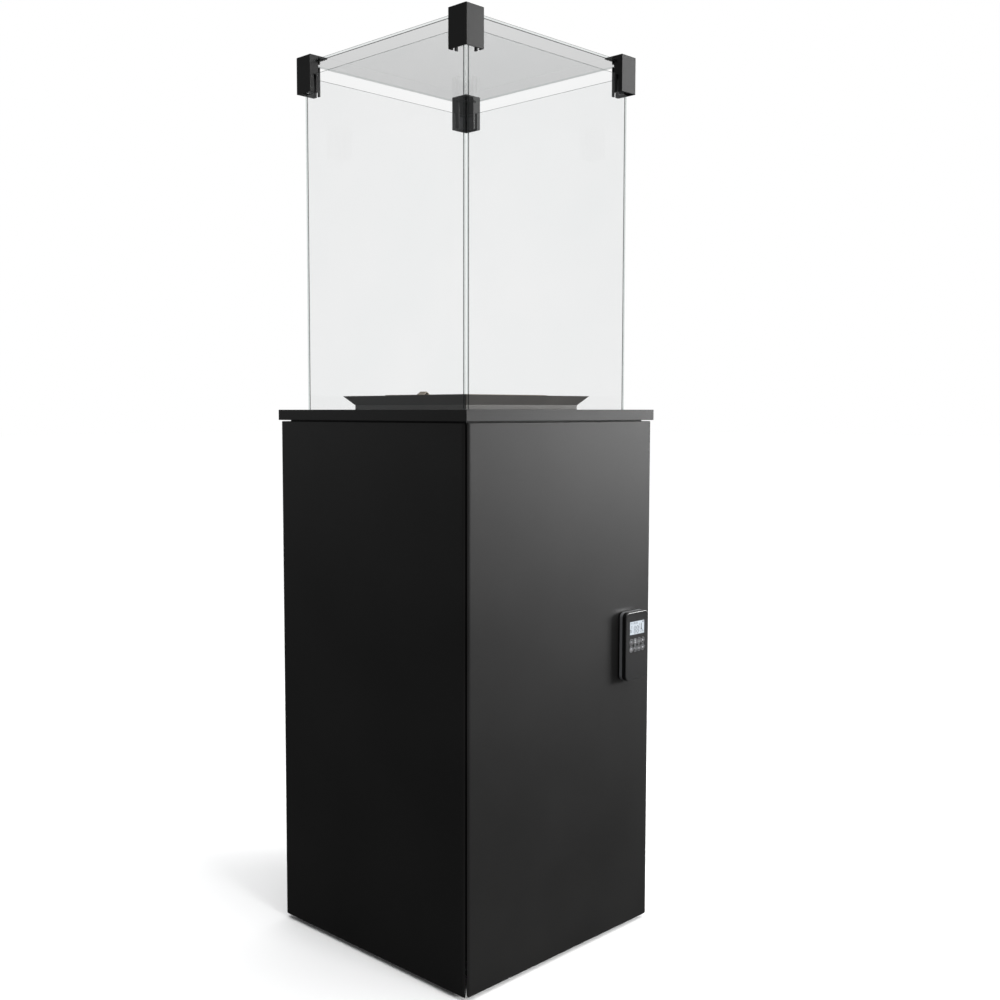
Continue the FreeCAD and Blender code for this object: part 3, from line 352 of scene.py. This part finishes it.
def clear_glass(thin):
    """Toughened glass about 5 mm thick; thin is its object axis across the sheet, X, Y or Z.

    Sight and light go straight through the broad faces, less what they mirror. The eased edges
    are ground, and from the front they carry painted shade that makes them dark; the end faces between them
    are a little duller.
    """
    look = Look(f"clear_glass_{thin.lower()}").set(Metallic=1.0)
    facing = look.add("ShaderNodeNewGeometry")
    split = look.add("ShaderNodeSeparateXYZ")
    look.join(look.add("ShaderNodeTexCoord").outputs["Normal"], split.inputs["Vector"])
    across = look.math("ABSOLUTE", split.outputs[thin])
    front = look.math("SUBTRACT", 1.0, facing.outputs["Backfacing"])

    smear = look.noise(5, 3.0)
    look.colour(look.ramp(smear, [(0.3, (0.95, 0.96, 0.96)), (0.7, (0.99, 1.0, 1.0))]))
    look.rough(look.spread(smear, 0.4, 0.8, 0.0, 0.03))
    sheet = look.ramp(smear, [(0.35, (0.993, 0.996, 0.996)), (0.65, (0.999, 1.0, 1.0))])
    clear = look.add("ShaderNodeBsdfTransparent")
    ends = look.math("LESS_THAN", across, 0.5)
    tint = look.add("ShaderNodeMix", data_type="RGBA")
    look.join(ends, tint.inputs["Factor"])
    look.join(sheet, tint.inputs["A"])
    tint.inputs["B"].default_value = (0.86, 0.885, 0.88, 1)
    look.join(tint.outputs["Result"], clear.inputs["Color"])

    fresnel = look.add("ShaderNodeFresnel")
    fresnel.inputs["IOR"].default_value = 1.5
    once = fresnel.outputs["Fac"]
    both = look.math("DIVIDE", look.math("MULTIPLY", once, 2.0), look.math("ADD", once, 1.0))
    sheen = look.mixed(look.math("MULTIPLY", both, front), clear.outputs["BSDF"], look.shader.outputs["BSDF"])

    # Painted shade: a dark rough shader over the eased edges, seen from the front, drawn as dark lines along
    # the glass edges.
    painted_edge_shade = look.add("ShaderNodeBsdfPrincipled")
    painted_edge_shade.inputs["Base Color"].default_value = (0.03, 0.036, 0.034, 1)
    painted_edge_shade.inputs["Roughness"].default_value = 0.5
    eased = look.math("MULTIPLY", look.math("LESS_THAN", across, 0.9), look.math("GREATER_THAN", across, 0.5))
    # The share of painted shade that the eased edges take from the front.
    edge = look.math("MULTIPLY", look.math("MULTIPLY", eased, front), 0.85)
    look.join(look.mixed(edge, sheen, painted_edge_shade.outputs["BSDF"]), look.output.inputs["Surface"])
    return look.material


LOOKS = {
    make.__name__: make()
    for make in (
        powder_black, enamel_black, galvanised, stainless, brass, die_cast,
        cylinder_paint, black_rubber, silicone, black_plastic, ceramic_white,
        remote_gloss, remote_silver, lcd, circuit_green, cell_wrap, magnet,
    )
}
GLASS = {"glass_front": "Y", "glass_right": "X", "glass_rear": "Y", "glass_left": "X", "glass_roof": "Z"}
SHEETS = {axis: clear_glass(axis) for axis in "XYZ"}
LCD_INK = lcd_ink()
KEY_PRINT = key_print()


def dress_nodes():
    """Every CAD node takes the look of its material slot."""
    for part in frame["record"]["subparts"]:
        node = NODES[part["node"]]
        node.data.materials.clear()
        glass = GLASS.get(part["node"])
        node.data.materials.append(SHEETS[glass] if glass else LOOKS[part["material_slot"]])


dress_nodes()

# ------------------------------------------------------------------ flat prints on the remote control

DISPLAY_LOW, DISPLAY_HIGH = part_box("remote_display")
REMOTE_LOW, REMOTE_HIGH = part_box("remote_front")
REMOTE_MIDDLE = (REMOTE_LOW.y + REMOTE_HIGH.y) / 2
FACE_X = REMOTE_HIGH.x
PRINT_HEIGHT = 0.08 * MM


class Print:
    """Thin raised artwork on the remote's front. Outlines are in millimetres, right and up from a centre."""

    def __init__(self, name, x, y, z, material, slot):
        self.mesh = bmesh.new()
        self.name, self.material, self.slot = name, material, slot
        self.centre = Vector((x, y, z))

    def area(self, outline):
        """A filled outline, one face with a thin edge."""
        low = [self.mesh.verts.new(self.centre + Vector((0, u * MM, v * MM))) for u, v in outline]
        high = [self.mesh.verts.new(p.co + Vector((PRINT_HEIGHT, 0, 0))) for p in low]
        self.mesh.faces.new(high)
        self.mesh.faces.new(low[::-1])
        for i in range(len(low)):
            j = (i + 1) % len(low)
            self.mesh.faces.new((low[i], low[j], high[j], high[i]))

    def stroke(self, points, width, closed=False):
        """A line of even width along the points."""
        count = len(points)
        pairs = [(points[i], points[(i + 1) % count]) for i in range(count if closed else count - 1)]
        for (ax, ay), (bx, by) in pairs:
            length = math.hypot(bx - ax, by - ay)
            nx, ny = -(by - ay) / length * width / 2, (bx - ax) / length * width / 2
            self.area([(ax + nx, ay + ny), (ax - nx, ay - ny), (bx - nx, by - ny), (bx + nx, by + ny)])

    def band(self, outer, inner):
        """The area between two outlines with the same number of points."""
        for i in range(len(outer)):
            j = (i + 1) % len(outer)
            self.area([outer[i], outer[j], inner[j], inner[i]])

    def finish(self):
        bmesh.ops.recalc_face_normals(self.mesh, faces=self.mesh.faces)
        data = bpy.data.meshes.new(self.name)
        self.mesh.to_mesh(data)
        self.mesh.free()
        data.materials.append(self.material)
        piece = bpy.data.objects.new(self.name, data)
        bpy.context.scene.collection.objects.link(piece)
        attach(piece, "remote")
        return piece


def oval(width, height, steps=40, start=0.0, sweep=360.0, x=0.0, y=0.0):
    """Points round an ellipse, or along part of it."""
    whole = abs(sweep) >= 360
    count = steps if whole else steps + 1
    angles = [math.radians(start + sweep * i / steps) for i in range(count)]
    return [(x + width / 2 * math.cos(a), y + height / 2 * math.sin(a)) for a in angles]


def moved(points, dx, dy, scale):
    """The points scaled about their centre, then moved."""
    return [(x * scale + dx, y * scale + dy) for x, y in points]


def power_icon(art, dx, dy, s):
    art.stroke(moved(oval(3.0, 3.0, 20, 125, 290), dx, dy, s), 0.5 * s)
    art.stroke(moved([(0, 0.2), (0, 2.0)], dx, dy, s), 0.5 * s)


def hourglass_icon(art, dx, dy, s):
    for side in (-1, 1):
        bulb = [(-1.5, side * 2.2), (1.5, side * 2.2), (0.3, side * 0.2), (-0.3, side * 0.2)]
        art.area(moved(bulb[::side], dx, dy, s))
        art.stroke(moved([(-1.8, side * 2.5), (1.8, side * 2.5)], dx, dy, s), 0.4 * s)


def thermometer_icon(art, dx, dy, s):
    art.area(moved(oval(1.7, 1.7, 18, y=-1.9), dx, dy, s))
    art.area(moved([(-0.4, -1.4), (0.4, -1.4), (0.4, 2.4), (-0.4, 2.4)], dx, dy, s))
    for level in (0.2, 0.9, 1.6):
        art.stroke(moved([(0.5, level), (1.0, level)], dx, dy, s), 0.22 * s)


def arrow_icon(art, dx, dy, s, way):
    points = [(0, 2.4 * way), (1.9, -1.6 * way), (0, -0.7 * way), (-1.9, -1.6 * way)]
    art.area(moved([points[0], points[2], points[1]], dx, dy, s))
    art.area(moved([points[0], points[3], points[2]], dx, dy, s))


def clock_icon(art, dx, dy, s):
    square = [(-2.0, -2.0), (2.0, -2.0), (2.0, 2.0), (-2.0, 2.0)]
    art.stroke(moved(square, dx, dy, s), 0.3 * s, closed=True)
    art.stroke(moved(oval(2.9, 2.9, 20), dx, dy, s), 0.45 * s, closed=True)
    art.stroke(moved([(0, 1.0), (0, 0), (0.7, 0.5)], dx, dy, s), 0.35 * s)


def plus_icon(art, dx, dy, s):
    for x, y in ((-0.8, 0.9), (0.9, -0.9)):
        art.stroke(moved([(x - 1.1, y), (x + 1.1, y)], dx, dy, s), 0.42 * s)
        art.stroke(moved([(x, y - 1.1), (x, y + 1.1)], dx, dy, s), 0.42 * s)


def flame_icon(art, dx, dy, s):
    for x, height in ((-1.9, 2.0), (-0.9, 3.0), (0.1, 4.2), (1.1, 3.0), (2.0, 2.0)):
        tongue = [(x - 0.55, -1.8), (x - 0.45, -1.8 + height * 0.45), (x, -1.8 + height),
                  (x + 0.45, -1.8 + height * 0.45), (x + 0.55, -1.8)]
        art.stroke(moved(tongue, dx, dy, s), 0.24 * s)


KEY_PITCH = 10.8
KEY_ROWS = (51.7, 64.1)
KEY_ICONS = (
    (power_icon, hourglass_icon, thermometer_icon, lambda *a: arrow_icon(*a, 1)),
    (clock_icon, plus_icon, flame_icon, lambda *a: arrow_icon(*a, -1)),
)


def touch_keys():
    """Eight oval rings with their icons, in two rows of four."""
    for row, (drop, icons) in enumerate(zip(KEY_ROWS, KEY_ICONS)):
        for column, icon in enumerate(icons):
            y = REMOTE_MIDDLE + (column - 1.5) * KEY_PITCH * MM
            z = REMOTE_HIGH.z - drop * MM
            art = Print(f"touch_key_{row + 1}_{column + 1}", FACE_X, y, z, KEY_PRINT, "remote_silver")
            art.band(oval(8.5, 10.4), oval(7.95, 9.85))
            icon(art, 0, 0, 1.0)
            art.finish()


def digit(art, x, y, width, height, stroke):
    """A seven-segment 8 with small gaps between the segments."""
    gap = stroke * 0.18
    half = height / 2
    for level in (0, half, height):
        art.stroke([(x + stroke * 0.6 + gap, y + level), (x + width - stroke * 0.6 - gap, y + level)], stroke)
    for side in (0, width):
        for start in (0, half):
            low, high = y + start + stroke * 0.4 + gap, y + start + half - stroke * 0.4 - gap
            art.stroke([(x + side, low), (x + side, high)], stroke)


def display_art():
    """Everything on the display: big digits, a clock, and the state symbols."""
    centre = (DISPLAY_LOW + DISPLAY_HIGH) / 2
    art = Print("display_symbols", DISPLAY_HIGH.x, centre.y, centre.z, LCD_INK, "black_plastic")
    for x in (-8.4, -0.6):
        digit(art, x, -9.2, 4.8, 12.0, 1.3)
    for x in (-9.6, -6.9, -3.3, -0.6):
        digit(art, x, 6.4, 1.7, 3.6, 0.42)
    for y in (7.4, 9.0):
        art.area(oval(0.55, 0.55, 10, x=-4.25, y=y))
    hourglass_icon(art, -15.0, 2.0, 0.75)
    clock_icon(art, -17.2, -4.8, 1.1)
    plus_icon(art, 8.9, -7.0, 1.0)
    flame_icon(art, 15.2, -7.2, 1.15)
    art.area(oval(3.6, 3.6, 20, x=12.0, y=-3.4))
    art.area([(11.3, -2.4), (12.7, -2.4), (12.7, 6.6), (11.3, 6.6)])
    for level in (0.0, 1.6, 3.2, 4.8):
        art.stroke([(13.1, level), (14.0, level)], 0.3)
    art.stroke([(8.6, -2.2), (7.2, -2.2), (7.2, 1.8), (8.6, 1.8)], 0.5)
    art.stroke([(7.2, -0.2), (8.4, -0.2)], 0.5)
    art.stroke(oval(1.3, 1.3, 14, x=7.4, y=3.8), 0.4, closed=True)
    for size in (2.4, 3.8):
        art.stroke(oval(size, size, 8, 45, 90, x=7.4, y=4.6), 0.35)
    art.stroke([(14.6, 7.6), (18.6, 7.6), (18.6, 10.0), (14.6, 10.0)], 0.3, closed=True)
    for x in (15.2, 16.2, 17.2):
        art.area([(x, 7.95), (x + 0.7, 7.95), (x + 0.9, 9.65), (x + 0.2, 9.65)])
    art.stroke(oval(2.6, 2.2, 14, 20, 250, x=-16.6, y=8.6), 0.4)
    art.stroke(oval(2.0, 1.6, 12, -60, 240, x=-14.2, y=7.8), 0.35)
    art.finish()


def display_frame():
    """Thin dark line round the display window."""
    centre = (DISPLAY_LOW + DISPLAY_HIGH) / 2
    art = Print("display_border", DISPLAY_HIGH.x, centre.y, centre.z, LCD_INK, "black_plastic")
    art.stroke([(-20.1, -11.35), (20.1, -11.35), (20.1, 11.35), (-20.1, 11.35)], 0.3, closed=True)
    art.finish()


touch_keys()
display_art()
display_frame()

# ------------------------------------------------------------------ stage, light, camera

PLATE_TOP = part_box("top_plate")[1].z
FLOOR_HALF = 40.0
SKY_ANGLE = 70

# Camera: sensor and lens in millimetres, distance in metres, pitch in degrees
SENSOR = 36.0
LENS = 43.76
SHIFT = (0.0339, -0.0016)
EYE_DISTANCE = 2.1359
EYE_BELOW_PLATE = 0.0013
EYE_PITCH = -4.139
FAR_CLIP = 100.0

# How bright the world is for everything but the eye
DIM_WORLD = 0.27
WHITE = (1.0, 1.0, 1.0, 1.0)


def seen_directly(tree):
    """1 for rays from the eye, straight or through glass, and 0 for reflected and scattered light."""
    ray = tree.nodes.new("ShaderNodeLightPath")
    bounces = tree.nodes.new("ShaderNodeMath")
    bounces.operation = "ADD"
    direct = tree.nodes.new("ShaderNodeMath")
    direct.operation = "LESS_THAN"
    direct.inputs[1].default_value = 0.5
    tree.links.new(ray.outputs["Glossy Depth"], bounces.inputs[0])
    tree.links.new(ray.outputs["Diffuse Depth"], bounces.inputs[1])
    tree.links.new(bounces.outputs["Value"], direct.inputs[0])
    return direct.outputs["Value"]


def pale_floor():
    """White to the eye, darker to the paint above it, as if the light on it were small."""
    data = bpy.data.meshes.new("floor")
    corners = [(x * FLOOR_HALF, y * FLOOR_HALF, 0) for x, y in ((-1, -1), (1, -1), (1, 1), (-1, 1))]
    data.from_pydata(corners, [], [(0, 1, 2, 3)])
    look = Look("floor").set(Roughness=0.9, Specular_IOR_Level=0.0)
    look.colour(look.ramp(look.noise(2, 2.0), [(0.0, (0.93, 0.93, 0.93)), (1.0, (0.96, 0.96, 0.96))]))
    dull = look.add("ShaderNodeBsdfDiffuse")
    dull.inputs["Color"].default_value = (0.10, 0.10, 0.10, 1)
    mix = look.add("ShaderNodeMixShader")
    look.join(seen_directly(look.tree), mix.inputs["Fac"])
    look.join(dull.outputs["BSDF"], mix.inputs[1])
    look.join(look.shader.outputs["BSDF"], mix.inputs[2])
    look.join(mix.outputs["Shader"], look.output.inputs["Surface"])
    data.materials.append(look.material)
    floor = bpy.data.objects.new("floor", data)
    bpy.context.scene.collection.objects.link(floor)


def studio_world():
    """White to the eye and through glass; dimmer as a light, so that black paint stays black."""
    world = bpy.data.worlds.new("studio")
    bpy.context.scene.world = world
    world.use_nodes = True
    tree = world.node_tree
    seen = tree.nodes["Background"]
    seen.inputs["Color"].default_value = WHITE
    seen.inputs["Strength"].default_value = 1.0
    dim = tree.nodes.new("ShaderNodeBackground")
    dim.inputs["Color"].default_value = (0.97, 0.985, 1.0, 1.0)
    dim.inputs["Strength"].default_value = DIM_WORLD
    mix = tree.nodes.new("ShaderNodeMixShader")
    tree.links.new(seen_directly(tree), mix.inputs["Fac"])
    tree.links.new(dim.outputs["Background"], mix.inputs[1])
    tree.links.new(seen.outputs["Background"], mix.inputs[2])
    tree.links.new(mix.outputs["Shader"], tree.nodes["World Output"].inputs["Surface"])


def all_but_glass():
    """A light with this as its receivers leaves no bright rectangle in the panes."""
    group = bpy.data.collections.new("all_but_glass")
    for name in GLASS:
        group.objects.link(NODES[name])
    for entry in group.collection_objects:
        entry.light_linking.link_state = "EXCLUDE"
    return group


def softbox(name, place, target, width, height, power):
    """A rectangular lamp that points at the target; sizes in metres, power in watts."""
    data = bpy.data.lights.new(name, "AREA")
    data.shape = "RECTANGLE"
    data.size, data.size_y = width, height
    data.energy = power
    light = bpy.data.objects.new(name, data)
    light.location = place
    light.rotation_euler = (Vector(target) - Vector(place)).to_track_quat("-Z", "Y").to_euler()
    bpy.context.scene.collection.objects.link(light)
    return light


def sky_light(strength):
    """Even light from straight above, for the floor and everything that faces up."""
    data = bpy.data.lights.new("sky_light", "SUN")
    data.energy = strength
    data.angle = math.radians(SKY_ANGLE)
    light = bpy.data.objects.new("sky_light", data)
    bpy.context.scene.collection.objects.link(light)
    return light


def lights():
    """Strong from the right, faint from the left, and even from above. The fill adds no gloss."""
    receivers = all_but_glass()
    fill = softbox("right_fill_box", (3.4, -0.3, 0.98), (0.1, 0.0, 0.95), 1.4, 0.5, 120)
    fill.visible_glossy = False
    for light in (
        softbox("right_box", (2.3, 3.1, 1.10), (0.2, 0.0, 0.9), 1.4, 0.8, 100),
        softbox("right_high_box", (2.0, 1.9, 2.3), (0.2, 0.0, 1.45), 1.0, 0.6, 40),
        fill,
        softbox("left_box", (-3.1, -2.3, 1.20), (0.0, -0.2, 0.9), 1.6, 0.8, 5),
        sky_light(2.55),
    ):
        light.light_linking.receiver_collection = receivers


def camera():
    """The eye is level with the top plate, off the corner between the door and the right wall."""
    data = bpy.data.cameras.new("camera")
    data.sensor_width = SENSOR
    data.lens = LENS
    data.shift_x, data.shift_y = SHIFT
    data.clip_end = FAR_CLIP
    eye = bpy.data.objects.new("camera", data)
    pitch = math.radians(EYE_PITCH)
    aside = EYE_DISTANCE / math.sqrt(2)
    level = math.cos(pitch) / math.sqrt(2)
    eye.location = (aside, -aside, PLATE_TOP - EYE_BELOW_PLATE)
    ahead = Vector((-level, level, math.sin(pitch)))
    eye.rotation_euler = ahead.to_track_quat("-Z", "Y").to_euler()
    bpy.context.scene.collection.objects.link(eye)
    bpy.context.scene.camera = eye


pale_floor()
studio_world()
lights()
camera()
bpy.context.scene.view_settings.view_transform = "Standard"
